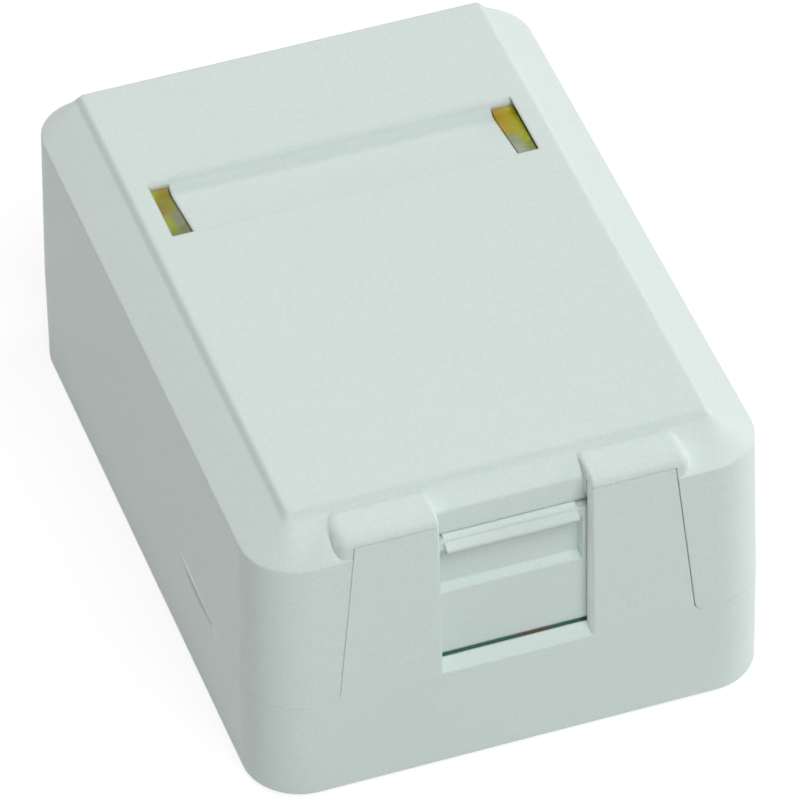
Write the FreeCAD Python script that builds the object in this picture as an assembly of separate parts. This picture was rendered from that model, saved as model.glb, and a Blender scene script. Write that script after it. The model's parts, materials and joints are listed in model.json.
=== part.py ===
"""Surface mount jack box: a two-part moulded case with a dust shutter and one eight-way jack on a board.

Millimetres.  X runs across the box, the port faces -Y, +Z is up, z = 0 is the underside.
"""
import FreeCAD, Part
import math
import os

Vector = FreeCAD.Vector

# Case, outside
CASE_W = 50.0
CASE_L = 70.0
CASE_H = 31.2
CORNER_R = 5.6
SEAM_Z = 11.3
SHOULDER_DROP = 3.15
PANEL_STEP = 0.45
PANEL_SKIRT = 0.45
SIDE_BEVEL = 4.82
FRONT_BEVEL = 5.2
BACK_BEVEL = 3.25
DRAFT = 0.4
# Case, material thickness
WALL = 1.6
FLOOR = 2.0
ROOF = 1.8
# Port and shutter
PORT_W = 14.5
POST_W = 10.0
HOOD_R = 1.0
LIP_CREASE = 0.24
LIP_R = 5.5
FLANGE_T = 1.2
LEDGE_W = 12.8
SILL_GAP = 0.2
# Jack
JACK_W = 15.2
JACK_L = 16.0
JACK_H = 16.5
PLUG_W = 11.7
PLUG_H = 6.7
PLUG_RAISE = 5.0
TAIL_Y = 13.2
CONTACT_PITCH = 1.02
CONTACT_W = 0.42
# Board and its parts
PCB_T = 1.6
BOARD_STEP = 29.5
IDC_W = 8.0
IDC_L = 15.0
IDC_H = 13.2
TERMINAL_W = 2.6
TERMINAL_T = 0.4
TERMINAL_DROP = 1.3
TERMINAL_SLIT_W = 0.35
TERMINAL_SLIT_L = 4.2
IDC_BACK = 24.3
IDC_PITCH = 3.5
CAP_T = 6.0
SCREW_R = 1.1
SCREW_HEAD_R = 2.2
SCREW_HEAD_H = 1.6
SCREW_GRIP = 4.5
# Label field, with its far edge measured from the back
LABEL_EDGE = 17.6
LABEL_L = 8.1
LABEL_DEPTH = 1.2
SLOT_W = 2.05
SLOT_SPLAY = 0.38
# Snap fingers, measured from the front and from the back
FINGER_FRONT = 25.0
FINGER_BACK = 15.0
FINGER_W = 5.0
# Wall mounting
MOUNT_HOLE_R = 2.0
MOUNT_SPACING = 31.0
MOUNT_FRONT = 23.0
TIE_BACK = 23.0
PRY_FRONT = 17.4
PRY_LENGTH = 10.4
PRY_DEPTH = 1.0
CABLE_R = 3.6
# Clearances
SEAM_GAP = 0.07
SEAM_SHIFT = 0.03
TOP_GAP = 0.02
TONGUE_GAP = 0.12
GUIDE_GAP = 0.25
FREE_GAP = 0.3
SLOT_GAP = 0.15
FIT_GAP = 0.05

# Places that follow from the sizes above
SIDE = CASE_W / 2
FRONT = -CASE_L / 2
BACK = CASE_L / 2
SHOULDER_Z = CASE_H - SHOULDER_DROP
PANEL_Z = CASE_H - PANEL_STEP
ROOF_Z = CASE_H - ROOF
LIP_Z = SHOULDER_Z - 1.65
POST_TOP = SHOULDER_Z + 1.3
HOOD_TOP = PANEL_Z - 0.35
GUIDE_Y = FRONT + WALL
FLANGE_Y = GUIDE_Y + GUIDE_GAP
RAIL_Y = FLANGE_Y + FLANGE_T + GUIDE_GAP
RAIL_END = RAIL_Y + 0.8
LIP_Y = GUIDE_Y + 1.0
SILL_Z = SEAM_Z + 0.1
SILL_SLOPE = 0.394
SHUTTER_Z = SILL_Z + WALL * SILL_SLOPE + SILL_GAP
FLANGE_TOP = LIP_Z - FREE_GAP
SHUTTER_BACK = RAIL_END - 0.25
JACK_Y = RAIL_END + FREE_GAP
PCB_TOP = LIP_Z - JACK_H
PCB_Z = PCB_TOP - PCB_T
INNER = SIDE - WALL
FINGER_X = INNER - 1.1
BOARD_X = FINGER_X - 1.5
BOARD_STEP_Y = BACK - BOARD_STEP
BOARD_BACK = BACK - 4.5
IDC_Y = BACK - IDC_BACK
IDC_X = BOARD_X - 0.4 - IDC_W
SCREW_X = BOARD_X - 3.8
SCREW_Y = BOARD_STEP_Y + 2.5
REST_Y = BOARD_BACK - 1.5
MOUNT_Y = FRONT + MOUNT_FRONT
LABEL_Y = BACK - LABEL_EDGE
LABEL_X = SIDE - 6.9
LABEL_NEAR = LABEL_Y - LABEL_L


def box(x0, x1, y0, y1, z0, z1):
    return Part.makeBox(x1 - x0, y1 - y0, z1 - z0, Vector(x0, y0, z0))


def both_sides(shape):
    """A shape with its mirror image across the middle plane."""
    return [shape, shape.mirror(Vector(0, 0, 0), Vector(1, 0, 0))]


def pick(shape, test):
    """Edges whose middle point passes a test."""
    chosen = []
    for edge in shape.Edges:
        middle = edge.valueAt((edge.FirstParameter + edge.LastParameter) / 2)
        if test(middle, edge):
            chosen.append(edge)
    return chosen


def rounded_wire(x0, x1, y0, y1, r, z):
    """Rectangle with rounded corners at height z: four lines and four arcs."""
    k = r * (1 - math.sqrt(0.5))
    lines = [((x0 + r, y0), (x1 - r, y0)), ((x1, y0 + r), (x1, y1 - r)),
             ((x1 - r, y1), (x0 + r, y1)), ((x0, y1 - r), (x0, y0 + r))]
    middles = [(x1 - k, y0 + k), (x1 - k, y1 - k), (x0 + k, y1 - k), (x0 + k, y0 + k)]
    edges = []
    for i in range(4):
        start, end = lines[i]
        after = lines[(i + 1) % 4][0]
        edges.append(Part.makeLine(Vector(*start, z), Vector(*end, z)))
        edges.append(Part.Arc(Vector(*end, z), Vector(*middles[i], z), Vector(*after, z)).toShape())
    return Part.Wire(edges)


def outline(points, place):
    """Closed wire through (u, v, corner radius) points; place turns (u, v) into a point in space."""
    corners = []
    for i in range(len(points)):
        u, v, r = points[i]
        here = Vector(u, v, 0)
        before = Vector(points[i - 1][0], points[i - 1][1], 0) - here
        after = Vector(points[(i + 1) % len(points)][0], points[(i + 1) % len(points)][1], 0) - here
        before.normalize()
        after.normalize()
        if r == 0:
            corners.append((here, None, here))
            continue
        half = before.getAngle(after) / 2
        inward = before + after
        inward.normalize()
        reach = r / math.tan(half)
        middle = here + inward * (r / math.sin(half) - r)
        corners.append((here + before * reach, middle, here + after * reach))
    edges = []
    for i in range(len(corners)):
        enter, middle, leave = corners[i]
        if middle is not None:
            edges.append(Part.Arc(place(enter), place(middle), place(leave)).toShape())
        following = corners[(i + 1) % len(corners)][0]
        if leave.distanceToPoint(following) > 1e-6:
            edges.append(Part.makeLine(place(leave), place(following)))
    return Part.Wire(edges)


def plate(points, axis, low, high):
    """Outline extruded along one axis, from low to high."""
    if axis == "x":
        wire = outline(points, lambda p: Vector(low, p.x, p.y))
        run = Vector(high - low, 0, 0)
    elif axis == "y":
        wire = outline(points, lambda p: Vector(p.x, low, p.y))
        run = Vector(0, high - low, 0)
    else:
        wire = outline(points, lambda p: Vector(p.x, p.y, low))
        run = Vector(0, 0, high - low)
    return Part.Face(wire).extrude(run)


def case_wire(inset, z):
    """Case outline at height z; above the seam the walls lean inwards."""
    lean = DRAFT * max(0.0, z - SEAM_Z) / (SHOULDER_Z - SEAM_Z)
    d = inset + lean
    return rounded_wire(d - SIDE, SIDE - d, FRONT + d, BACK - d, CORNER_R - d, z)


def case_loft(inset, z0, z1):
    return Part.makeLoft([case_wire(inset, z0), case_wire(inset, z1)], True, True)


def post_outline(gap, top_gap, shift):
    """Front view of the upstand that carries the two port posts, grown by its gaps and moved sideways."""
    half = PORT_W / 2 + POST_W + gap
    top = half - 1.9
    foot = 1.0 - gap
    points = [(-half - 2.5, SEAM_Z - 1, 0), (-half - 2.5, SEAM_Z, 0), (-half, SEAM_Z, foot),
              (-top, POST_TOP + top_gap, 0)]
    points += [(-u, v, r) for u, v, r in reversed(points)]
    return [(u + shift, v, r) for u, v, r in points]


def base_tray():
    outer = case_loft(0, 0, SEAM_Z)
    outer = outer.makeChamfer(0.4, pick(outer, lambda p, e: p.z < 0.01))
    return outer.cut(case_loft(WALL, FLOOR, SEAM_Z + 1))


def base_upstand():
    """The two posts and the low wall between them, with the bevelled sill."""
    front = case_loft(0, SEAM_Z - 0.2, POST_TOP + 1)
    return front.common(plate(post_outline(0, 0, 0), "y", FRONT - 1, GUIDE_Y))


def port_cut():
    low = SILL_Z - SILL_SLOPE
    high = SILL_Z + SILL_SLOPE * (WALL + 0.5)
    profile = [(FRONT - 1, low, 0), (GUIDE_Y + 0.5, high, 0), (GUIDE_Y + 0.5, CASE_H, 0), (FRONT - 1, CASE_H, 0)]
    return plate(profile, "x", -PORT_W / 2, PORT_W / 2)


def shutter_rail():
    """Channel behind one post that the edge of the shutter slides in."""
    inner = PORT_W / 2 + 1.3
    web = box(inner, inner + 1.2, GUIDE_Y - 0.2, RAIL_END, FLOOR - 0.2, LIP_Z - 0.8)
    lip = box(inner - 1, inner + 0.1, RAIL_Y, RAIL_END, FLOOR - 0.2, LIP_Z - 0.8)
    return web.fuse(lip)


def base_tongue():
    """Rim that the cover locates on, left out at the posts and at the cable entry."""
    ring = case_loft(WALL - 0.75, SEAM_Z - 0.2, SEAM_Z + 1)
    ring = ring.cut(case_loft(WALL, SEAM_Z - 1, SEAM_Z + 2))
    front_gap = PORT_W / 2 + POST_W + 1.35
    ring = ring.cut(box(-front_gap, front_gap, FRONT - 1, FRONT + 5, SEAM_Z - 1, SEAM_Z + 2))
    return ring.cut(box(-CABLE_R - 0.6, CABLE_R + 0.6, BACK - 5, BACK + 1, SEAM_Z - 1, SEAM_Z + 2))


def finger_places():
    return [FRONT + FINGER_FRONT, BACK - FINGER_BACK]


def catch_ribs():
    ribs = []
    for y in finger_places():
        profile = [(INNER - 0.5, SEAM_Z - 1.9, 0), (INNER + 0.2, SEAM_Z - 1.9, 0),
                   (INNER + 0.2, SEAM_Z - 0.5, 0), (INNER - 0.5, SEAM_Z - 0.9, 0)]
        ribs += both_sides(plate(profile, "y", y - FINGER_W / 2 - 0.5, y + FINGER_W / 2 + 0.5))
    return ribs


def board_supports():
    """Screw posts, rear rests and front ribs that hold the board."""
    low = FLOOR - 0.2
    post = Part.makeCylinder(2.75, PCB_Z - low, Vector(SCREW_X, SCREW_Y, low))
    web = box(SCREW_X, INNER + 0.2, SCREW_Y - 0.5, SCREW_Y + 0.5, low, (low + PCB_Z) / 2)
    rest = box(SCREW_X, INNER + 0.2, REST_Y - 0.5, REST_Y + 0.5, low, PCB_Z)
    cross = box(SCREW_X + 1.5, SCREW_X + 2.5, REST_Y - 1.5, REST_Y + 1.5, low, PCB_Z)
    rib = box(PORT_W / 2 - 1.25, PORT_W / 2 + 0.75, JACK_Y + 1.6, JACK_Y + 4.6, low, PCB_Z)
    return both_sides(post.fuse(web)) + both_sides(rest.fuse(cross)) + both_sides(rib)


def mount_boss():
    return Part.makeCylinder(4.0, 1.4, Vector(MOUNT_SPACING / 2, MOUNT_Y, FLOOR - 0.2))


def mount_hole():
    place = Vector(MOUNT_SPACING / 2, MOUNT_Y, -1)
    through = Part.makeCylinder(MOUNT_HOLE_R, FLOOR + 4, place)
    sink_z = FLOOR + 1.2 - 1.5
    sink = Part.makeCone(MOUNT_HOLE_R, MOUNT_HOLE_R + 1.7, 1.7, Vector(place.x, place.y, sink_z))
    return through.fuse(sink)


def tie_bridge():
    """Small arch on the floor for a cable tie."""
    y = BACK - TIE_BACK
    arch = plate([(-4, FLOOR - 0.2, 0), (4, FLOOR - 0.2, 0), (4, FLOOR + 3.2, 0.6), (-4, FLOOR + 3.2, 0.6)],
                 "y", y, y + 2)
    return arch.cut(box(-2.6, 2.6, y - 1, y + 3, FLOOR, FLOOR + 1.9))


def floor_opening():
    y = BACK - 16.5
    return plate([(-6, y, 1.5), (6, y, 1.5), (6, y + 11, 1.5), (-6, y + 11, 1.5)], "z", -1, FLOOR + 1)


def rear_entry():
    """U-shaped cable notch in the rear wall, open at the seam."""
    centre = SEAM_Z - 3.3
    round_end = Part.makeCylinder(CABLE_R, WALL + 3, Vector(0, BACK - WALL - 1.5, centre), Vector(0, 1, 0))
    return round_end.fuse(box(-CABLE_R, CABLE_R, BACK - WALL - 1.5, BACK + 1.5, centre, SEAM_Z + 2))


def pry_recess():
    """Sloping lens-shaped recess at the seam where the cover is levered off."""
    deep = WALL / 2
    radius = (PRY_LENGTH ** 2 / 4 + PRY_DEPTH ** 2) / (2 * PRY_DEPTH)
    place = Vector(SIDE - deep, FRONT + PRY_FRONT, SEAM_Z - PRY_DEPTH + radius)
    return Part.makeCone(radius - deep, radius + 0.5, deep + 0.5, place, Vector(1, 0, 0))


def pad_recess():
    """Shallow field on the underside for an adhesive pad."""
    x = SIDE - 4.5
    return plate([(-x, FRONT + 4.5, 1.5), (x, FRONT + 4.5, 1.5), (x, FRONT + 17, 1.5), (-x, FRONT + 17, 1.5)],
                 "z", -1, 0.4)


def make_base():
    shape = base_tray().fuse([base_upstand(), base_tongue(), tie_bridge()] + both_sides(shutter_rail()))
    shape = shape.fuse(catch_ribs() + board_supports() + both_sides(mount_boss()))
    cuts = [port_cut(), floor_opening(), rear_entry(), pad_recess()]
    cuts += both_sides(mount_hole()) + both_sides(pry_recess())
    for x in (SCREW_X, -SCREW_X):
        depth = SCREW_GRIP + 0.7
        cuts.append(Part.makeCylinder(SCREW_R + FIT_GAP, depth, Vector(x, SCREW_Y, PCB_Z - depth)))
    shape = shape.cut(cuts).removeSplitter()
    jambs = pick(shape, lambda p, e: abs(abs(p.x) - PORT_W / 2) < 0.01 and p.y < FRONT + 0.6 and e.Length > 10)
    return shape.makeFillet(0.38, jambs)


def bevel_loft(wall_inset, low, high, side, front, back, corner):
    """Sloping band between the leaning walls and the edge of the top panel."""
    rim = rounded_wire(-side, side, front, back, corner, high)
    return Part.makeLoft([case_wire(wall_inset, low), rim], True, True)


def cover_outer():
    side, front, back = SIDE - SIDE_BEVEL, FRONT + FRONT_BEVEL, BACK - BACK_BEVEL
    walls = case_loft(0, SEAM_Z, SHOULDER_Z)
    bevel = bevel_loft(0, SHOULDER_Z, PANEL_Z, side, front, back, 0.3)
    skirt = PANEL_SKIRT
    drop = skirt * (PANEL_Z - SHOULDER_Z) / FRONT_BEVEL + 0.1
    foot = rounded_wire(-side - skirt, side + skirt, front - skirt, back + skirt, 0.5, PANEL_Z - drop)
    edge = CASE_H - 0.1
    rim = rounded_wire(-side, side, front, back, 0.4, edge)
    top = rounded_wire(0.2 - side, side - 0.2, front + 0.2, back - 0.2, 0.3, CASE_H)
    panel = [Part.makeLoft([foot, rim], True, True), Part.makeLoft([rim, top], True, True)]
    return walls.fuse([bevel] + panel)


def rectangle(x, front, back, z):
    return Part.makePolygon([Vector(-x, front, z), Vector(x, front, z), Vector(x, back, z), Vector(-x, back, z),
                             Vector(-x, front, z)])


def cover_inner():
    """Hollow of the cover: rounded walls under a hipped ceiling."""
    low = SHOULDER_Z - 0.85
    inset = WALL + DRAFT
    eaves = rectangle(SIDE - inset, FRONT + inset, BACK - inset, low)
    ceiling = rectangle(SIDE - SIDE_BEVEL - 0.58, FRONT + FRONT_BEVEL + 0.65, BACK - BACK_BEVEL - 0.85, ROOF_Z)
    hip = Part.makeLoft([eaves, ceiling], True, True)
    return case_loft(WALL, SEAM_Z - 1, low).fuse(case_loft(WALL, low, ROOF_Z).common(hip))


def hood():
    """Brow over one port post."""
    inner = PORT_W / 2
    outer = inner + POST_W - 0.35
    block = box(inner, outer, FRONT + 0.5, FRONT + 5.0, SHOULDER_Z - 0.15, HOOD_TOP)
    front = pick(block, lambda p, e: p.z > HOOD_TOP - 0.01 and p.y < FRONT + 0.51)
    flank = pick(block, lambda p, e: p.x > outer - 0.01 and (p.z > HOOD_TOP - 0.01 or p.y < FRONT + 0.51))
    block = block.makeFillet(HOOD_R, front + flank)
    port_side = pick(block, lambda p, e: p.x < inner + 0.01 and p.z > SHOULDER_Z + 1)
    return block.makeChamfer(HOOD_R / 4, port_side)


def post_notch():
    """Room in the cover for the base's posts."""
    return plate(post_outline(SEAM_GAP, TOP_GAP, SEAM_SHIFT), "y", FRONT - 1, GUIDE_Y + 0.5)


def port_lip():
    """Edge above the port that hangs down in front of the jack."""
    half = PORT_W / 2 + 1.75
    return box(-half, half, LIP_Y, LIP_Y + 1.5, LIP_Z, SHOULDER_Z + 0.4)


def port_cutter():
    """Clears the bevel between the hoods down to a brow that rolls gently into the lip."""
    rise = (PANEL_Z - SHOULDER_Z) / (FRONT_BEVEL - DRAFT)
    slope_z = SHOULDER_Z + rise * (LIP_Y - FRONT - DRAFT)
    knee = LIP_CREASE / (1 - rise)
    far = knee + 0.7
    profile = [(FRONT - 1, SEAM_Z - 1, 0), (LIP_Y, SEAM_Z - 1, 0), (LIP_Y, slope_z - LIP_CREASE, 0),
               (LIP_Y + knee, slope_z + rise * knee, LIP_R), (LIP_Y + far, slope_z + rise * far, 0),
               (LIP_Y + far, CASE_H + 1, 0), (FRONT - 1, CASE_H + 1, 0)]
    half = PORT_W / 2 + 0.05
    return plate(profile, "x", -half, half)


def label_floor(drop):
    """Side view of the space above the label field, lowered by a drop."""
    top = CASE_H + 0.02 - drop
    return [(LABEL_NEAR, CASE_H - 0.04 - drop, 0), (LABEL_Y - 0.75, CASE_H - LABEL_DEPTH - drop, 1.2),
            (LABEL_Y, top, 0.5), (LABEL_Y + 2, top, 0), (LABEL_Y + 2, CASE_H + 1, 0), (LABEL_NEAR, CASE_H + 1, 0)]


def label_recess():
    """Field whose floor falls away from the port and whose far wall is scooped."""
    return plate(label_floor(0), "x", -LABEL_X, LABEL_X)


def label_slot(gap, low):
    """Slot at the right-hand end of the label field, splayed downwards; the gap makes it smaller."""
    inner, outer = LABEL_X - SLOT_W + gap, LABEL_X - gap
    splay = SLOT_SPLAY * (CASE_H - low)
    return plate([(inner, low, 0), (outer + splay, low, 0), (outer, CASE_H, 0), (inner, CASE_H, 0)],
                 "y", LABEL_NEAR + 0.1 + gap, LABEL_Y - 0.3 - gap)


def snap_finger(y):
    """Springy hook that catches under a rib of the base, drawn in its flexed position."""
    low = SEAM_Z - 3.5
    half = FINGER_W / 2
    hook = plate([(FINGER_X - 1, low, 0), (FINGER_X, low, 0), (FINGER_X + 0.45, low + 1.0, 0),
                  (FINGER_X + 0.45, low + 1.3, 0), (FINGER_X, low + 1.3, 0), (FINGER_X, SHOULDER_Z + 0.5, 0),
                  (FINGER_X - 1, SHOULDER_Z + 0.5, 0)], "y", y - half, y + half)
    root = box(FINGER_X - 0.1, INNER, y - half, y + half, SEAM_Z + 6, SHOULDER_Z - 0.5)
    return hook.fuse(root)


def make_cover():
    shape = cover_outer().fuse(both_sides(hood())).cut(cover_inner())
    ribs = []
    for y in finger_places():
        ribs += both_sides(snap_finger(y))
    rib_x = PORT_W / 2 + 1.75
    ribs += both_sides(box(rib_x - 0.5, rib_x + 0.5, FRONT + 7, BACK - 6, ROOF_Z - 2.6, ROOF_Z + 0.1))
    shape = shape.fuse(ribs)
    rebate = case_loft(WALL - 0.75 - TONGUE_GAP, SEAM_Z - 1, SEAM_Z + 1 + SEAM_GAP)
    hollow = case_loft(WALL + 0.05, SEAM_Z - 2, SEAM_Z + 2)
    cuts = [rebate.cut(hollow), post_notch(), port_cutter(), label_recess()]
    cuts += both_sides(label_slot(0, ROOF_Z - 1))
    return shape.cut(cuts).fuse(port_lip()).removeSplitter()


def make_shutter():
    """Panel with side flanges, a finger recess and a thumb ledge under the cover's lip."""
    half = PORT_W / 2
    body = box(0.05 - half, half - 0.05, FLANGE_Y, SHUTTER_BACK, SHUTTER_Z, FLANGE_TOP)
    flange = box(-half - 1.05, half + 1.05, FLANGE_Y, FLANGE_Y + FLANGE_T, SHUTTER_Z, FLANGE_TOP)
    shape = body.fuse(flange)
    step_z = SHUTTER_Z + 7.53
    top_z = LIP_Z - 1.45
    deep = FLANGE_Y + 1.0
    pocket = plate([(FLANGE_Y - 1, step_z - 0.34, 0), (FLANGE_Y, step_z, 0), (deep, step_z + 0.34, 0),
                    (deep, top_z, 0), (FLANGE_Y - 1, top_z, 0)], "x", 0.4 - half, half - 0.4)
    nose = FRONT + 1.1
    ledge_top = LIP_Z - FIT_GAP
    ledge = plate([(nose + 0.4, top_z, 0), (SHUTTER_BACK, top_z, 0), (SHUTTER_BACK, ledge_top, 0),
                   (LIP_Y - 0.1, ledge_top, 0), (nose, LIP_Z - 0.8, 0.25), (nose, top_z + 0.3, 0.15)],
                  "x", -LEDGE_W / 2, LEDGE_W / 2)
    pips = []
    for z in (SHUTTER_Z + 2, FLANGE_TOP - 2):
        y, x = FLANGE_Y, half + 0.6
        pips += both_sides(plate([(y - 0.2, z, 0), (y + 0.1, z - 0.9, 0), (y + 0.1, z + 0.9, 0)], "x", x - 0.3, x + 0.3))
    return shape.cut(pocket).fuse([ledge] + pips).removeSplitter()


def contact_x(i):
    return (i - 3.5) * CONTACT_PITCH


def plug_floor():
    return PCB_TOP + PLUG_RAISE


def make_jack_housing():
    half = JACK_W / 2
    shape = box(-half, half, JACK_Y, JACK_Y + JACK_L, PCB_TOP, LIP_Z)
    shape = shape.makeFillet(0.3, pick(shape, lambda p, e: abs(e.tangentAt(e.FirstParameter).y) > 0.9))
    floor = plug_floor()
    roof = floor + PLUG_H
    end = JACK_Y + 12.6
    mouth = box(-PLUG_W / 2, PLUG_W / 2, JACK_Y - 1, end, floor, roof)
    latch = box(-3.1, 3.1, JACK_Y - 1, end - 4, roof - 0.1, roof + 1.3)
    key = box(-1.75, 1.75, JACK_Y - 1, end - 4, roof + 1.2, roof + 2.0)
    cuts = [mouth, latch, key]
    for i in range(8):
        x = contact_x(i)
        cuts.append(box(x - 0.31, x + 0.31, JACK_Y + 2.2, JACK_Y + 14.0, floor - 1.7, floor + 0.1))
        cuts.append(box(x - 0.31, x + 0.31, JACK_Y + TAIL_Y - 0.4, JACK_Y + TAIL_Y + 0.4, PCB_TOP - 1, floor))
    shape = shape.cut(cuts)
    pegs = []
    side_ribs = []
    for x in (-1, 1):
        pegs.append(Part.makeCylinder(0.8, PCB_T + 0.8, Vector(x * (half - 1.9), JACK_Y + 8.5, PCB_Z - 0.6)))
        face = x * half
        side_ribs.append(box(min(face, face + 0.25 * x), max(face, face + 0.25 * x), JACK_Y + 9, JACK_Y + 10,
                             PCB_TOP, LIP_Z - 2))
    return shape.fuse(pegs + side_ribs)


def make_contact(i):
    """Bent spring contact: tail, run under the plug floor and a sloping spring arm."""
    x = contact_x(i)
    base = plug_floor() - 1.7
    t = 0.35
    front = JACK_Y + 3.0
    tail = JACK_Y + TAIL_Y
    tip_y = JACK_Y + 9.8
    tip_z = plug_floor() + 2.3
    profile = [(tail - t / 2, PCB_Z - 1.0, 0), (tail + t / 2, PCB_Z - 1.0, 0), (tail + t / 2, base + t - 0.15, 0),
               (tail, base + t, 0), (front + 1.3, base + t, 0), (tip_y, tip_z - 0.3, 0), (tip_y - 0.2, tip_z, 0),
               (front, base + 0.55, 0.3), (front, base, 0), (tail - t / 2, base, 0)]
    return plate(profile, "x", x - CONTACT_W / 2, x + CONTACT_W / 2)


def make_pcb():
    neck = JACK_W / 2 + 1.9
    front = JACK_Y
    right = [(neck, front, 0), (neck, BOARD_STEP_Y, 0), (BOARD_X, BOARD_STEP_Y, 1.0),
             (BOARD_X, BOARD_BACK, 1.0), (7, BOARD_BACK, 0), (7, BACK - 19, 1.5)]
    points = right + [(-u, v, r) for u, v, r in reversed(right)]
    shape = plate(points, "z", PCB_Z, PCB_TOP)
    cuts = []
    for i in range(8):
        x, y, r = contact_x(i), JACK_Y + TAIL_Y, 0.34
        ring = [(x + r * math.cos(a), y + r * math.sin(a), 0) for a in (k * math.pi / 4 for k in range(8))]
        cuts.append(plate(ring, "z", PCB_Z - 1, PCB_TOP + 1))
    for x in (-1, 1):
        cuts.append(Part.makeCylinder(0.8 + FIT_GAP, PCB_T + 2,
                                      Vector(x * (JACK_W / 2 - 1.9), JACK_Y + 8.5, PCB_Z - 1)))
        cuts.append(Part.makeCylinder(SCREW_R + 0.15, PCB_T + 2, Vector(x * SCREW_X, SCREW_Y, PCB_Z - 1)))
    return shape.cut(cuts)


def idc_slot_y(i):
    return IDC_Y + IDC_L / 2 + (i - 1.5) * IDC_PITCH


def make_idc_block():
    """Terminal block of the right-hand side with four wire slots."""
    top = PCB_TOP + IDC_H
    shape = box(IDC_X, IDC_X + IDC_W, IDC_Y, IDC_Y + IDC_L, PCB_TOP, top)
    shape = shape.makeChamfer(0.4, pick(shape, lambda p, e: abs(e.tangentAt(e.FirstParameter).z) > 0.9))
    middle = IDC_X + IDC_W / 2
    cuts = []
    for i in range(4):
        y = idc_slot_y(i)
        cuts.append(box(IDC_X - 1, IDC_X + IDC_W + 1, y - 0.5, y + 0.5, top - 5.5, top + 1))
        cuts.append(box(middle - TERMINAL_T / 2 - FIT_GAP, middle + TERMINAL_T / 2 + FIT_GAP,
                        y - TERMINAL_W / 2 - FIT_GAP, y + TERMINAL_W / 2 + FIT_GAP, PCB_TOP + 1, top + 1))
    for i in range(3):
        y = idc_slot_y(i) + IDC_PITCH / 2
        cuts.append(plate([(y - 0.6, top + 1, 0), (y - 0.6, top - 2.2, 0), (y, top - 2.7, 0), (y + 0.6, top - 2.2, 0),
                           (y + 0.6, top + 1, 0)], "x", IDC_X + IDC_W - 1.2, IDC_X + IDC_W + 1))
    return shape.cut(cuts)


def make_idc_terminal(i):
    """Slotted terminal plate of the right-hand side, standing in the block."""
    top = PCB_TOP + IDC_H - TERMINAL_DROP
    middle = IDC_X + IDC_W / 2
    y = idc_slot_y(i)
    far, near = TERMINAL_W / 2, TERMINAL_SLIT_W / 2
    low, slit_low, lead_in = PCB_TOP + 1, top - TERMINAL_SLIT_L, near + 0.375
    profile = [(y - far, low, 0), (y + far, low, 0), (y + far, top - 0.3, 0), (y + far - 0.3, top, 0),
               (y + lead_in, top, 0), (y + near, top - 0.8, 0), (y + near, slit_low, 0),
               (y - near, slit_low, 0), (y - near, top - 0.8, 0), (y - lead_in, top, 0),
               (y - far + 0.3, top, 0), (y - far, top - 0.3, 0)]
    return plate(profile, "x", middle - TERMINAL_T / 2, middle + TERMINAL_T / 2)


def make_idc_cap():
    """Cap of the right-hand block: ribs reach into the wire slots and a pad stands in the label slot."""
    low = PCB_TOP + IDC_H
    high = low + CAP_T
    outer = IDC_X + IDC_W
    profile = [(IDC_X, low, 0), (outer, low, 0), (outer, high - 1, 0), (outer - 1, high, 0),
               (IDC_X + 0.4, high, 0), (IDC_X, high - 0.4, 0)]
    shape = plate(profile, "y", IDC_Y, IDC_Y + IDC_L)
    pad = label_slot(SLOT_GAP, high - 0.1).cut(plate(label_floor(0.08), "x", 0, LABEL_X + 2))
    ribs = [pad]
    for i in range(4):
        y = idc_slot_y(i)
        ribs.append(box(IDC_X + 0.4, outer - 0.4, y - 0.42, y + 0.42, low - 1.1, low + 0.1))
    grips = []
    for i in range(3):
        y = idc_slot_y(i) + IDC_PITCH / 2
        grips.append(plate([(y - 0.45, high + 1, 0), (y - 0.45, high - 0.6, 0), (y, high - 0.9, 0),
                            (y + 0.45, high - 0.6, 0), (y + 0.45, high + 1, 0)], "x", IDC_X - 1, IDC_X + 2.4))
    return shape.cut(grips).fuse(ribs).removeSplitter()


def make_screw():
    """Pan-head screw of the right-hand side with a cross recess."""
    place = Vector(SCREW_X, SCREW_Y, PCB_TOP)
    length = PCB_T + SCREW_GRIP
    shank = Part.makeCylinder(SCREW_R, length, place - Vector(0, 0, length))
    head = Part.makeCylinder(SCREW_HEAD_R, SCREW_HEAD_H, place)
    head = head.makeChamfer(0.6, pick(head, lambda p, e: p.z > PCB_TOP + SCREW_HEAD_H - 0.1))
    cross = []
    wide = SCREW_HEAD_R * 0.57
    for dx, dy in ((wide, 0.3), (0.3, wide)):
        cross.append(box(SCREW_X - dx, SCREW_X + dx, SCREW_Y - dy, SCREW_Y + dy,
                         PCB_TOP + SCREW_HEAD_H / 2, PCB_TOP + SCREW_HEAD_H + 0.5))
    return head.cut(cross).fuse(shank)


def all_parts():
    parts = {"base": make_base(), "cover": make_cover(), "shutter": make_shutter(),
             "jack_housing": make_jack_housing(), "pcb": make_pcb()}
    for i in range(8):
        parts["jack_contact_%d" % (i + 1)] = make_contact(i)
    for name, maker in (("idc_block", make_idc_block), ("idc_cap", make_idc_cap), ("pcb_screw", make_screw)):
        right, left = both_sides(maker())
        parts[name + "_right"] = right
        parts[name + "_left"] = left
    for i in range(4):
        right, left = both_sides(make_idc_terminal(i))
        parts["idc_terminal_%d" % (i + 1)] = left
        parts["idc_terminal_%d" % (i + 5)] = right
    return parts


os.makedirs("parts", exist_ok=True)
for node, shape in all_parts().items():
    solid = shape.Solids[0] if len(shape.Solids) == 1 else shape
    print(node, len(shape.Solids), shape.isValid(), round(shape.Volume, 2))
    solid.exportStep("parts/%s.step" % node)
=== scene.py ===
import json
import math

import bpy
from mathutils import Matrix, Vector


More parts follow.
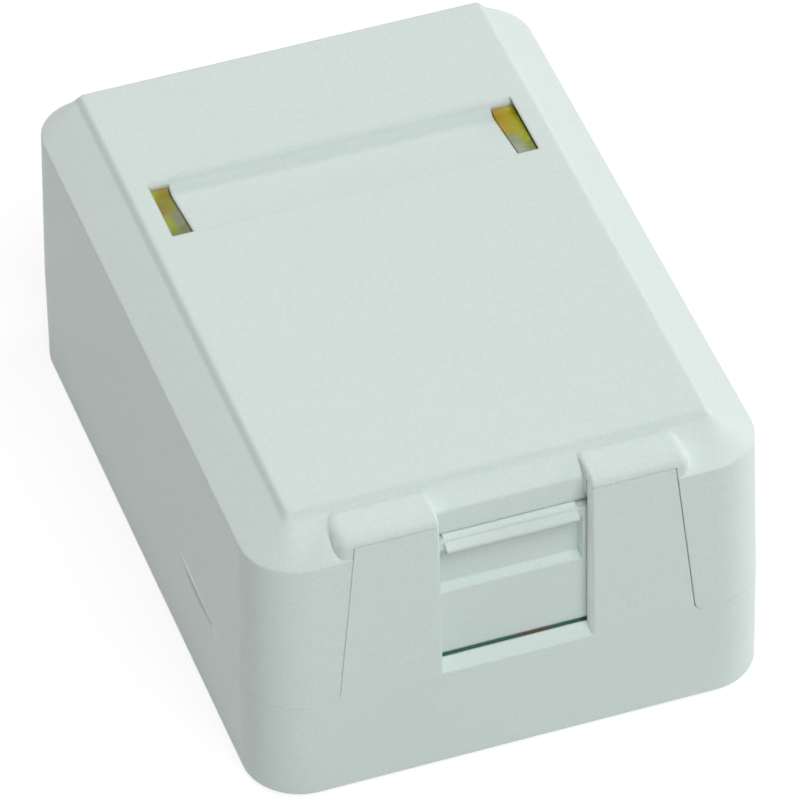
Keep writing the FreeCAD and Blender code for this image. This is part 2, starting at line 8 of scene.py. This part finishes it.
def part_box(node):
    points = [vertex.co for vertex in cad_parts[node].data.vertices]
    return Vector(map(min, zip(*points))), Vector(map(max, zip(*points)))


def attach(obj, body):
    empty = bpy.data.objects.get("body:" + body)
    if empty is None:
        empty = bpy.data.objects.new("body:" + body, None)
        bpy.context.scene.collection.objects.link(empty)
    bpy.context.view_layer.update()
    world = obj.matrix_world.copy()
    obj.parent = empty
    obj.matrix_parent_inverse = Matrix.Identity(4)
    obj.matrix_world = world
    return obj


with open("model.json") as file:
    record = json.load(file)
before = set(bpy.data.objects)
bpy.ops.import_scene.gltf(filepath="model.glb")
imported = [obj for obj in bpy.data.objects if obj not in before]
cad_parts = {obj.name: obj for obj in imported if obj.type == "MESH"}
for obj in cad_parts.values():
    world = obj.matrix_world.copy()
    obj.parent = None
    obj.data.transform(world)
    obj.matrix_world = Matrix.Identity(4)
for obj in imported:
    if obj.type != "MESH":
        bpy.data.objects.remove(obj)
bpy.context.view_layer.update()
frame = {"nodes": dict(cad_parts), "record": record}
scene = bpy.context.scene
scene.view_settings.view_transform = "Standard"

MM = 0.001


def node_box(name):
    """Lowest and highest corner of a CAD node, as vectors."""
    low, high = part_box(name)
    return Vector(low), Vector(high)


SHELL = (0.756, 0.845, 0.816)
WARM_SHIFT = (1.03, 0.992, 0.998)
COOL_SHIFT = (0.972, 1.01, 1.006)
BEVEL_SAMPLES = 6
# parting line; no node's box gives its height, because the base's posts rise above it
SEAM_Z = 11.3 * MM
BOARD_LOW, BOARD_HIGH = node_box("pcb")
CAP_FRONT = node_box("idc_cap_right")[0].y

# colours of a cap's four bands from front to back, each at its inner and its outer side
CAP_LEFT = (((0.17, 0.19, 0.08), (0.20, 0.25, 0.045)),
            ((0.24, 0.24, 0.17), (0.31, 0.36, 0.015)),
            ((0.25, 0.25, 0.035), (0.27, 0.20, 0.04)),
            ((0.34, 0.22, 0.02), (0.33, 0.38, 0.01)))
CAP_RIGHT = (((0.38, 0.43, 0.36), (0.22, 0.27, 0.06)),
             ((0.33, 0.36, 0.27), (0.44, 0.47, 0.02)),
             ((0.50, 0.36, 0.02), (0.50, 0.46, 0.010)),
             ((0.50, 0.30, 0.01), (0.54, 0.44, 0.008)))

CONTACTS = 8
CONTACT_HALF = 0.17 * MM
SOLDER_SIDES = 20
# radius of a solder joint and depth under the board, from its tip up
SOLDER_RINGS = ((0.3 * MM, 0.85 * MM), (0.282 * MM, 0.5 * MM), (0.4324 * MM, 0.12 * MM), (0.47 * MM, 0))
TRACE_WIDTH = 0.36 * MM
TRACE_HEIGHT = 0.035 * MM
TRACE_START = 0.47 * MM
TRACE_GAP = 0.05 * MM
# first value and step from one trace to the next: way to the first bend, lane off the block, entry along it
BEND = (1.2 * MM, 1.0 * MM)
LANE = (1.3 * MM, 0.9 * MM)
ENTRY = (2.2 * MM, 3.5 * MM)
# a mitred bend of a trace grows to at most the width over this number
MITRE_LIMIT = 0.5

FLOOR_SIZE = 6
FLOOR_DROP = 0.02 * MM
FLOOR_GLOW = 0.80
FLOOR_SEEN = (0.27, 0.27, 0.27)
FLOOR_BOUNCE = (0.80, 0.80, 0.79)
WORLD_STRENGTH = 0.11
WHITE = (1, 1, 1)
LAMP_AIM = Vector((0, 0, 0.015))

CAMERA_AIM = Vector((0, 0, 0.0156))
CAMERA_AZIMUTH = math.radians(-18.419)
CAMERA_ELEVATION = math.radians(42.408)
CAMERA_ROLL = math.radians(-1.166)
CAMERA_DISTANCE = 0.744
CAMERA_NEAREST = 0.01
CAMERA_SENSOR = 36
CAMERA_LENS = 355.81
CAMERA_SHIFT = (0.01006, -0.02701)


# ---------------------------------------------------------------- shader helpers
class Nodes:
    """A material's node tree, with short calls that add nodes and fill their sockets."""

    def __init__(self, name):
        self.material = bpy.data.materials.new(name)
        self.material.use_nodes = True
        self.tree = self.material.node_tree
        self.tree.nodes.clear()
        self.out = self.add("ShaderNodeOutputMaterial")
        self.coords = self.add("ShaderNodeTexCoord").outputs["Object"]
        self.split = None

    def add(self, kind, **settings):
        """New node with its own settings, such as an operation."""
        node = self.tree.nodes.new(kind)
        for key, value in settings.items():
            setattr(node, key, value)
        return node

    def put(self, socket, value):
        """Link a socket to another node's output, or set it to a number or a colour."""
        if isinstance(value, bpy.types.NodeSocket):
            self.tree.links.new(value, socket)
        elif socket.type == "RGBA":
            socket.default_value = (*value, 1)
        else:
            socket.default_value = value

    def fill(self, node, **values):
        """Put values on a node's sockets, whose names are given with _ for a space."""
        for key, value in values.items():
            self.put(node.inputs[key.replace("_", " ")], value)
        return node

    def noise(self, scale, detail=2, rough=0.5, distortion=0):
        """Cloudy noise from 0 to 1, with its scale per metre."""
        node = self.add("ShaderNodeTexNoise")
        self.fill(node, Vector=self.coords, Scale=scale, Detail=detail, Roughness=rough,
                  Distortion=distortion)
        return node.outputs["Fac"]

    def remap(self, value, span, result=(0, 1)):
        """Straight-line map of a span onto a result, held at both ends."""
        node = self.add("ShaderNodeMapRange")
        self.fill(node, Value=value, From_Min=span[0], From_Max=span[1], To_Min=result[0], To_Max=result[1])
        return node.outputs["Result"]

    def math(self, operation, *values):
        node = self.add("ShaderNodeMath", operation=operation)
        for socket, value in zip(node.inputs, values):
            self.put(socket, value)
        return node.outputs[0]

    def product(self, first, *others):
        for other in others:
            first = self.math("MULTIPLY", first, other)
        return first

    def highest(self, first, *others):
        for other in others:
            first = self.math("MAXIMUM", first, other)
        return first

    def off(self, value, centre=0):
        """Distance of a value from a centre."""
        return self.math("ABSOLUTE", self.math("SUBTRACT", value, centre))

    def mix(self, factor, a, b):
        """Colour between a and b."""
        node = self.add("ShaderNodeMix", data_type="RGBA")
        self.put(node.inputs["Factor"], factor)
        for key, value in (("A", a), ("B", b)):
            self.put([s for s in node.inputs if s.name == key and s.type == "RGBA"][0], value)
        return [s for s in node.outputs if s.type == "RGBA"][0]

    def bump(self, height, distance, normal=None, strength=1.0):
        node = self.fill(self.add("ShaderNodeBump"), Height=height, Distance=distance, Strength=strength)
        if normal is not None:
            self.put(node.inputs["Normal"], normal)
        return node.outputs["Normal"]

    def axes(self):
        """Sockets X, Y and Z of the place on the object, in metres in the shared frame."""
        if self.split is None:
            self.split = self.add("ShaderNodeSeparateXYZ")
            self.put(self.split.inputs[0], self.coords)
        return self.split.outputs

    def soft_edges(self, radius):
        """Normal that rounds the edges off by a radius."""
        node = self.add("ShaderNodeBevel", samples=BEVEL_SAMPLES)
        return self.fill(node, Radius=radius).outputs["Normal"]

    def surface(self, **values):
        """Give the material its surface and return it."""
        shader = self.fill(self.add("ShaderNodeBsdfPrincipled"), **values)
        self.put(self.out.inputs["Surface"], shader.outputs["BSDF"])
        return self.material


def tinted(color, k):
    """A colour made darker or lighter by a factor."""
    return tuple(min(1.0, c * k) for c in color)


def shifted(color, factors):
    """A colour with one factor for each of red, green and blue."""
    return tuple(c * k for c, k in zip(color, factors))


# ---------------------------------------------------------------- moulded plastic
# in these functions a pair is where a fade starts and where it ends
def shell_softening(n, narrow, wide):
    """Radius of the soft edges: wide at the shoulders, narrow at the splits, none at the parting line."""
    past_posts = (20.2 * MM, 21.0 * MM)
    past_front_wall = (-33.0 * MM, -32.2 * MM)
    port_width = (14.5 * MM, 15.3 * MM)
    port_top = (27.9 * MM, 28.2 * MM)
    port_share = 0.65
    post_inner_side = (15.5 * MM, 16.0 * MM)
    front_wall = (-33.0 * MM, -32.6 * MM)
    seam_reach = (0.45 * MM, 0.6 * MM)
    axes = n.axes()
    side = n.off(axes["X"])
    aside = n.remap(side, past_posts, (narrow, wide))
    behind = n.remap(axes["Y"], past_front_wall, (narrow, wide))
    port = n.product(n.remap(side, port_width, (wide * port_share, 0)), n.remap(axes["Z"], port_top, (1, 0)))
    on_port = n.product(n.remap(side, post_inner_side, (1, 0)), n.remap(axes["Y"], front_wall, (1, 0)))
    clear = n.highest(n.remap(n.off(axes["Z"], SEAM_Z), seam_reach), on_port)
    return n.product(n.highest(aside, behind, port), clear)


def pry_painted_highlight(n, color):
    """Painted highlight on both side walls where a blade levers the cover off: a lighter line along the
    outer face and a lightened scoop, standing in for light that these faces don't get.
    """
    line_run = (-22.5 * MM, -12.8 * MM)
    line_rise = (11.0 * MM, 12.0 * MM)
    line_half = (0.15 * MM, 0.38 * MM)
    outer_face = (24.72 * MM, 24.8 * MM)
    scoop_top = (11.12 * MM, 11.22 * MM)
    scoop_mouth = (24.7 * MM, 24.85 * MM)
    scoop_floor = (23.4 * MM, 23.6 * MM)
    mark_centre = -17.6 * MM
    mark_half = (4.2 * MM, 5.6 * MM)
    strength = 0.9
    axes = n.axes()
    side = n.off(axes["X"])
    off_line = n.off(axes["Z"], n.remap(axes["Y"], line_run, line_rise))
    highlight_line = n.product(n.remap(off_line, line_half, (1, 0)), n.remap(side, outer_face))
    scoop = n.product(n.remap(axes["Z"], scoop_top, (1, 0)), n.remap(side, scoop_mouth, (1, 0)),
                      n.remap(side, scoop_floor))
    along = n.remap(n.off(axes["Y"], mark_centre), mark_half, (strength, 0))
    # painted highlight: the line and the scoop are mixed towards near white
    return n.mix(n.product(n.highest(highlight_line, scoop), along), color, (1.0, 1.0, 0.99))


def painted_flank_light(n, color):
    """Painted light: the side faces of the posts and the port are painted a little paler than the walls,
    standing in for light that the lamps don't give them.
    """
    facing_away = (0.3, 0.5)
    strength = 0.9
    front_wall = (-33.2 * MM, -32.8 * MM)
    posts = (20.4 * MM, 20.8 * MM)
    face = n.add("ShaderNodeSeparateXYZ")
    n.put(face.inputs[0], n.add("ShaderNodeNewGeometry").outputs["True Normal"])
    sideways = n.product(n.remap(n.off(face.outputs["Y"]), facing_away, (strength, 0)),
                         n.remap(n.off(face.outputs["Z"]), facing_away, (1, 0)))
    place = n.product(n.remap(n.axes()["Y"], front_wall, (1, 0)),
                      n.remap(n.off(n.axes()["X"]), posts, (1, 0)))
    # painted light on the sideways faces near the port
    return n.mix(n.product(sideways, place), color, (0.97, 1.0, 0.99))


def painted_foot_and_seam_shade(n, color):
    """Painted shade: darker at the foot of the label recess and in a thin line along the parting line."""
    recess_foot = 16.7 * MM
    foot_half = (0.1 * MM, 1.3 * MM)
    foot_amount = 0.24
    above_shoulder = (29.0 * MM, 29.2 * MM)
    recess_width = (15.5 * MM, 16.5 * MM)
    seam_half = (0.02 * MM, 0.09 * MM)
    seam_amount = 0.30
    past_posts = (20.0 * MM, 20.4 * MM)
    past_front_wall = (-33.0 * MM, -32.6 * MM)
    axes = n.axes()
    side = n.off(axes["X"])
    foot_shade = n.product(n.remap(n.off(axes["Y"], recess_foot), foot_half, (foot_amount, 0)),
                     n.remap(axes["Z"], above_shoulder), n.remap(side, recess_width, (1, 0)))
    seam = n.product(n.remap(n.off(axes["Z"], SEAM_Z), seam_half, (seam_amount, 0)),
                     n.highest(n.remap(side, past_posts), n.remap(axes["Y"], past_front_wall)))
    # painted shade: both places are mixed towards a darker grey-green
    return n.mix(n.highest(foot_shade, seam), color, (0.50, 0.58, 0.56))


def specks(n, color):
    """A few dust specks trapped in the surface: one small dot in some cells of a loose grid."""
    cell = 11 * MM
    dot_edge = (0.012, 0.030)
    chosen_cells = (0.55, 0.95)
    strength = 0.7
    cells = n.fill(n.add("ShaderNodeTexVoronoi"), Vector=n.coords, Scale=1 / cell)
    tone = n.fill(n.add("ShaderNodeSeparateColor"), Color=cells.outputs["Color"])
    chosen = n.remap(tone.outputs["Red"], chosen_cells, (0, strength))
    dot = n.product(n.remap(cells.outputs["Distance"], dot_edge, (1, 0)), chosen)
    return n.mix(dot, color, (0.33, 0.35, 0.33))


def grained_color(n, color, fine):
    """A plastic's colour with faint flow clouds, warm and cool blotches, and the shade of its fine grain."""
    blotch_share = 0.5
    grain_shade = 0.26
    clouds = n.remap(n.noise(55, detail=3, rough=0.55), (0.3, 0.7))
    cloudy = n.mix(clouds, tinted(color, 0.99), tinted(color, 1.015))
    blotch = n.remap(n.noise(700, detail=3, rough=0.6), (0.35, 0.65))
    blotchy = n.mix(blotch, shifted(color, WARM_SHIFT), shifted(color, COOL_SHIFT))
    speckle = n.remap(fine, (0.35, 0.65), (0, grain_shade))
    return n.mix(speckle, n.mix(blotch_share, cloudy, blotchy), tinted(color, 0.82))


def moulded_plastic(name, color, roughness, edge, seam=False):
    """Satin injection-moulded plastic with spark-eroded grain and soft edges."""
    n = Nodes(name)
    grain_depth = 0.006 * MM
    fine_share = 0.6
    coarse_share = 0.8
    fine = n.noise(3800, rough=0.6)
    coarse = n.noise(1300)
    base = specks(n, grained_color(n, color, fine))
    # the shell gets painted shade at the label recess foot and the parting line, a painted highlight at the
    # pry recess and painted light on the port's side faces
    if seam:
        base = painted_flank_light(n, pry_painted_highlight(n, painted_foot_and_seam_shade(n, base)))
    height = n.math("ADD", n.math("MULTIPLY", fine, fine_share), n.math("MULTIPLY", coarse, coarse_share))
    radius = shell_softening(n, edge, 3 * edge) if seam else edge
    normal = n.bump(height, grain_depth, n.soft_edges(radius))
    rough = n.remap(coarse, (0.3, 0.7), (roughness - 0.04, roughness + 0.05))
    return n.surface(Base_Color=base, Roughness=rough, Normal=normal, Specular_IOR_Level=0.35,
                     Subsurface_Weight=0.12, Subsurface_Scale=0.6 * MM, Subsurface_Radius=(1.0, 1.0, 0.9))


# ---------------------------------------------------------------- materials of the inner pieces
def cap_bands(n, outer, fades, bands):
    """Colour of one cap: each band gives way to the next one behind it."""
    shades = [n.mix(outer, inner_side, outer_side) for inner_side, outer_side in bands]
    color = shades.pop()
    for fade in reversed(fades):
        color = n.mix(fade, shades.pop(), color)
    return color


def cap_material():
    """Swirled yellow polycarbonate of the caps: amber on the right, olive on the left, grey flow marks."""
    n = Nodes("cap_amber")
    axes = n.axes()
    swirl_reach = 3.2 * MM
    swirl_share_across = 0.5
    outer_side = (16.8 * MM, 17.6 * MM)
    band_ends = ((0.9 * MM, 1.7 * MM), (3.0 * MM, 4.2 * MM), (5.6 * MM, 6.8 * MM))
    between_caps = (-1 * MM, 1 * MM)
    mottle_most = 0.22
    swirl = n.noise(520, detail=3, rough=0.6, distortion=0.5)
    warp = n.math("MULTIPLY", n.math("SUBTRACT", swirl, 0.5), swirl_reach)
    across = n.math("ADD", n.off(axes["X"]), n.math("MULTIPLY", warp, swirl_share_across))
    outer = n.remap(across, outer_side)
    length = n.math("ADD", axes["Y"], warp)
    fades = [n.remap(length, (CAP_FRONT + start, CAP_FRONT + end)) for start, end in band_ends]
    left, right = [cap_bands(n, outer, fades, bands) for bands in (CAP_LEFT, CAP_RIGHT)]
    base = n.mix(n.remap(axes["X"], between_caps), left, right)
    mottle = n.remap(n.noise(1500, rough=0.6), (0.35, 0.65), (0, mottle_most))
    base = n.mix(mottle, base, (0.20, 0.22, 0.05))
    normal = n.bump(n.noise(2600), 0.006 * MM, n.soft_edges(0.1 * MM))
    rough = n.remap(mottle, (0, mottle_most), (0.42, 0.55))
    return n.surface(Base_Color=base, Roughness=rough, Normal=normal, Specular_IOR_Level=0.3)


def metal(name, color, roughness):
    """Plated metal with faint stains and a fine grain."""
    n = Nodes(name)
    stains = n.remap(n.noise(900, detail=3, rough=0.6), (0.3, 0.7))
    base = n.mix(stains, tinted(color, 0.86), tinted(color, 1.05))
    rough = n.remap(n.noise(2600, detail=3, rough=0.6), (0.3, 0.7), (roughness - 0.06, roughness + 0.1))
    normal = n.bump(n.noise(5200), 0.004 * MM, n.soft_edges(0.04 * MM))
    return n.surface(Base_Color=base, Roughness=rough, Normal=normal, Metallic=1.0)


def laminate_edge(n):
    """Bare laminate of the board's cut edges, with one scorched patch on the front edge."""
    scorch_centre = 3.0 * MM
    scorch_wander = 0.8 * MM
    scorch_half = (1.5 * MM, 2.3 * MM)
    front_edge = (-28.0 * MM, -27.0 * MM)
    wander = n.math("MULTIPLY", n.noise(900), scorch_wander)
    off_scorch = n.math("ADD", n.off(n.axes()["X"], scorch_centre), wander)
    patch = n.product(n.remap(off_scorch, scorch_half, (1, 0)), n.remap(n.axes()["Y"], front_edge, (1, 0)))
    return n.mix(patch, (0.19, 0.56, 0.45), (0.52, 0.38, 0.26))


def board_material():
    """Glass-fibre board: teal-green solder mask over the weave, bare laminate on the cut edges, which glow
    faintly as painted light.
    """
    n = Nodes("board_mask")
    weave_pitch = 0.55 * MM
    mask_depth = (0.12 * MM, 0.08 * MM)
    edge_glow = 0.13
    waves = [n.math("SINE", n.math("MULTIPLY", n.axes()[axis], 2 * math.pi / weave_pitch)) for axis in "XY"]
    weave = n.product(*waves)
    clouds = n.remap(n.noise(120, detail=3), (0.3, 0.7))
    mask = n.mix(clouds, (0.02, 0.21, 0.13), (0.03, 0.27, 0.16))
    mask = n.mix(n.remap(weave, (-1, 1), (0, 0.25)), mask, (0.05, 0.33, 0.20))
    edge = laminate_edge(n)
    half = (BOARD_HIGH.z - BOARD_LOW.z) / 2
    off_middle = n.off(n.axes()["Z"], (BOARD_LOW.z + BOARD_HIGH.z) / 2)
    skin = n.remap(off_middle, (half - mask_depth[0], half - mask_depth[1]))
    normal = n.bump(weave, 0.005 * MM, n.soft_edges(0.06 * MM), strength=0.6)
    # painted light: the cut edges glow faintly in their own colour, so that they show in the dark gap under
    # the shutter
    return n.surface(Base_Color=n.mix(skin, edge, mask), Roughness=n.remap(clouds, (0, 1), (0.26, 0.36)),
                     Normal=normal, Emission_Color=edge,
                     Emission_Strength=n.remap(skin, (0, 1), (edge_glow, 0)),
                     Coat_Weight=0.25, Coat_Roughness=0.12)


def trace_material():
    """Solder mask over copper: the board's green, smoother and a little lighter."""
    n = Nodes("trace_mask")
    clouds = n.remap(n.noise(300, detail=3), (0.3, 0.7))
    base = n.mix(clouds, (0.05, 0.36, 0.20), (0.08, 0.43, 0.25))
    rough = n.remap(clouds, (0, 1), (0.22, 0.30))
    return n.surface(Base_Color=base, Roughness=rough, Normal=n.bump(n.noise(1800), 0.004 * MM))


# ---------------------------------------------------------------- the CAD nodes get their materials
def dress_nodes(by_slot):
    """Put on each CAD node the material of the slot that its record names."""
    slot_of = {piece["node"]: piece["material_slot"] for piece in frame["record"]["subparts"]}
    for name, node in frame["nodes"].items():
        for slot in node.material_slots:
            slot.material = by_slot[slot_of[name]]


shell = moulded_plastic("shell_abs", SHELL, roughness=0.50, edge=0.15 * MM, seam=True)
shutter_abs = moulded_plastic("shutter_abs", tinted(SHELL, 0.985), roughness=0.44, edge=0.3 * MM)
jack_plastic = moulded_plastic("jack_pbt", (0.05, 0.12, 0.11), roughness=0.36, edge=0.06 * MM)
idc_plastic = moulded_plastic("idc_pc", (0.36, 0.37, 0.31), roughness=0.34, edge=0.06 * MM)
cap_plastic = cap_material()
board = board_material()
gold = metal("contact_gold", (0.86, 0.66, 0.30), roughness=0.18)
tin = metal("terminal_tin", (0.70, 0.70, 0.68), roughness=0.30)
zinc = metal("screw_zinc", (0.66, 0.67, 0.70), roughness=0.26)
dress_nodes({"base_plastic": shell, "cover_plastic": shell, "shutter_plastic": shutter_abs,
             "jack_plastic": jack_plastic, "board": board, "idc_plastic": idc_plastic,
             "cap_plastic": cap_plastic, "contact_metal": gold, "terminal_metal": tin, "screw_metal": zinc})


# ---------------------------------------------------------------- detail on the board
def add_mesh(name, vertices, faces, material):
    """New piece that rides on the case."""
    mesh = bpy.data.meshes.new(name)
    mesh.from_pydata([tuple(v) for v in vertices], [], faces)
    mesh.materials.append(material)
    piece = bpy.data.objects.new(name, mesh)
    scene.collection.objects.link(piece)
    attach(piece, "case")
    return piece


def ribbon(name, points, width, low, high, material):
    """Flat strip along a path on the board, with mitred bends."""
    vertices = []
    for i, point in enumerate(points):
        before = (point - points[i - 1]).normalized() if i else (points[1] - point).normalized()
        after = (points[i + 1] - point).normalized() if i + 1 < len(points) else before
        across = Vector((-before.y - after.y, before.x + after.x)).normalized()
        half = width / 2 / max(MITRE_LIMIT, across.dot(Vector((-before.y, before.x))))
        for side in (-half, half):
            for z in (low, high):
                vertices.append((point.x + across.x * side, point.y + across.y * side, z))
    faces = [(0, 1, 3, 2)]
    for i in range(len(points) - 1):
        k = 4 * i
        faces += [(k + 1, k + 5, k + 7, k + 3), (k, k + 4, k + 5, k + 1), (k + 3, k + 7, k + 6, k + 2)]
    last = 4 * (len(points) - 1)
    faces.append((last, last + 2, last + 3, last + 1))
    return add_mesh(name, vertices, faces, material)


def dome(name, centre, rings, sides, material):
    """Turned shape from (radius, height) rings, first and last closed."""
    vertices = []
    for radius, z in rings:
        for k in range(sides):
            turn = 2 * math.pi * k / sides
            vertices.append((centre.x + radius * math.cos(turn), centre.y + radius * math.sin(turn), z))
    faces = [tuple(range(sides))[::-1], tuple(range(len(vertices) - sides, len(vertices)))]
    for ring in range(len(rings) - 1):
        for k in range(sides):
            a, b = ring * sides + k, ring * sides + (k + 1) % sides
            faces.append((a, b, b + sides, a + sides))
    piece = add_mesh(name, vertices, faces, material)
    for face in piece.data.polygons:
        face.use_smooth = len(face.vertices) == 4


def solder_joint(name, tail):
    """Solder under the board round the tail of a contact."""
    rings = [(radius, BOARD_LOW.z - depth) for radius, depth in SOLDER_RINGS]
    dome(name, tail, rings, SOLDER_SIDES, tin)


def trace_path(tail, left, rank):
    """Path from a tail back along the board, over to its lane, and into its block's inner side."""
    low, high = node_box("idc_block_left" if left else "idc_block_right")
    side = -1 if left else 1
    edge = high.x if left else low.x
    lane = edge - side * (LANE[0] + LANE[1] * rank)
    entry = low.y + ENTRY[0] + ENTRY[1] * rank
    start = tail + Vector((0, TRACE_START))
    bend = start.y + BEND[0] + BEND[1] * rank
    over = bend + abs(lane - tail.x)
    return [start, Vector((tail.x, bend)), Vector((lane, over)), Vector((lane, entry - abs(edge - lane))),
            Vector((edge - side * TRACE_GAP, entry))]


def dress_board():
    """Solder joints at the contact tails and traces from them to the terminal blocks."""
    mask = trace_material()
    for i in range(CONTACTS):
        low, high = node_box("jack_contact_%d" % (i + 1))
        tail = Vector(((low.x + high.x) / 2, high.y - CONTACT_HALF))
        solder_joint("solder_joint_%d" % (i + 1), tail)
        path = trace_path(tail, i < CONTACTS / 2, min(i, CONTACTS - 1 - i))
        ribbon("trace_%d" % (i + 1), path, TRACE_WIDTH, BOARD_HIGH.z, BOARD_HIGH.z + TRACE_HEIGHT, mask)


dress_board()


# ---------------------------------------------------------------- floor, world and lamps
def seen_directly(tree):
    """1 for rays that see the background directly, in a mirror or through glass."""
    path = tree.nodes.new("ShaderNodeLightPath")
    total = path.outputs["Is Camera Ray"]
    for key in ("Is Glossy Ray", "Is Transmission Ray"):
        highest = tree.nodes.new("ShaderNodeMath")
        highest.operation = "MAXIMUM"
        tree.links.new(total, highest.inputs[0])
        tree.links.new(path.outputs[key], highest.inputs[1])
        total = highest.outputs[0]
    return total


def floor_material():
    """White where it is seen, so that only the shadow shows, and plain pale for the light it throws back."""
    n = Nodes("studio_floor")
    glow = n.fill(n.add("ShaderNodeEmission"), Color=WHITE, Strength=FLOOR_GLOW)
    shaded = n.fill(n.add("ShaderNodeBsdfDiffuse"), Color=FLOOR_SEEN)
    seen = n.add("ShaderNodeAddShader")
    n.put(seen.inputs[0], glow.outputs[0])
    n.put(seen.inputs[1], shaded.outputs[0])
    bounce = n.fill(n.add("ShaderNodeBsdfDiffuse"), Color=FLOOR_BOUNCE)
    choose = n.add("ShaderNodeMixShader")
    n.put(choose.inputs[0], seen_directly(n.tree))
    n.put(choose.inputs[1], bounce.outputs[0])
    n.put(choose.inputs[2], seen.outputs[0])
    n.put(n.out.inputs["Surface"], choose.outputs[0])
    return n.material


def make_floor():
    bpy.ops.mesh.primitive_plane_add(size=FLOOR_SIZE, location=(0, 0, -FLOOR_DROP))
    floor = bpy.context.object
    floor.name = "studio_floor"
    floor.data.materials.append(floor_material())


def make_world():
    """White where it is seen, dim white for the light it gives."""
    world = bpy.data.worlds.new("studio")
    world.use_nodes = True
    tree = world.node_tree
    tree.nodes.clear()
    out = tree.nodes.new("ShaderNodeOutputWorld")
    choose = tree.nodes.new("ShaderNodeMixShader")
    ambient = tree.nodes.new("ShaderNodeBackground")
    ambient.inputs["Strength"].default_value = WORLD_STRENGTH
    seen = tree.nodes.new("ShaderNodeBackground")
    for node in (ambient, seen):
        node.inputs["Color"].default_value = (*WHITE, 1)
    tree.links.new(seen_directly(tree), choose.inputs[0])
    tree.links.new(ambient.outputs[0], choose.inputs[1])
    tree.links.new(seen.outputs[0], choose.inputs[2])
    tree.links.new(choose.outputs[0], out.inputs["Surface"])
    scene.world = world


def lamp(name, place, size, power, color=WHITE):
    """Soft round lamp aimed at the object."""
    data = bpy.data.lights.new(name, "AREA")
    data.shape = "DISK"
    data.size = size
    data.energy = power
    data.color = color
    light = bpy.data.objects.new(name, data)
    light.location = place
    light.rotation_euler = (LAMP_AIM - Vector(place)).to_track_quat("-Z", "Y").to_euler()
    scene.collection.objects.link(light)


make_floor()
make_world()
lamp("side_right", place=(1.30, 0.15, 0.45), size=0.7, power=8.3, color=(1.0, 0.965, 0.96))
lamp("high_front", place=(0.15, -0.80, 1.25), size=0.9, power=11.8, color=(0.965, 1.0, 1.0))
lamp("fill_front", place=(-0.25, -1.20, 0.75), size=0.9, power=0.8)
lamp("low_left", place=(-1.00, -0.45, 0.60), size=0.9, power=0.35, color=(1.0, 0.97, 0.93))
lamp("back_left", place=(-0.35, 1.15, 0.95), size=0.9, power=6.8, color=(1.0, 0.975, 0.955))


# ---------------------------------------------------------------- camera
def camera_turn():
    """Right, up and back of the camera as the columns of a matrix."""
    across = math.cos(CAMERA_ELEVATION)
    back = Vector((math.sin(CAMERA_AZIMUTH) * across, -math.cos(CAMERA_AZIMUTH) * across,
                   math.sin(CAMERA_ELEVATION)))
    right = Vector((math.cos(CAMERA_AZIMUTH), math.sin(CAMERA_AZIMUTH), 0))
    up = back.cross(right)
    turned_right = right * math.cos(CAMERA_ROLL) + up * math.sin(CAMERA_ROLL)
    turned_up = up * math.cos(CAMERA_ROLL) - right * math.sin(CAMERA_ROLL)
    return Matrix((turned_right, turned_up, back)).transposed(), back


def make_camera():
    turn, back = camera_turn()
    data = bpy.data.cameras.new("camera")
    data.sensor_width = CAMERA_SENSOR
    data.lens = CAMERA_LENS
    data.shift_x, data.shift_y = CAMERA_SHIFT
    data.clip_start = CAMERA_NEAREST
    camera = bpy.data.objects.new("camera", data)
    place = turn.to_4x4()
    place.translation = CAMERA_AIM + back * CAMERA_DISTANCE
    camera.matrix_world = place
    scene.collection.objects.link(camera)
    scene.camera = camera


make_camera()
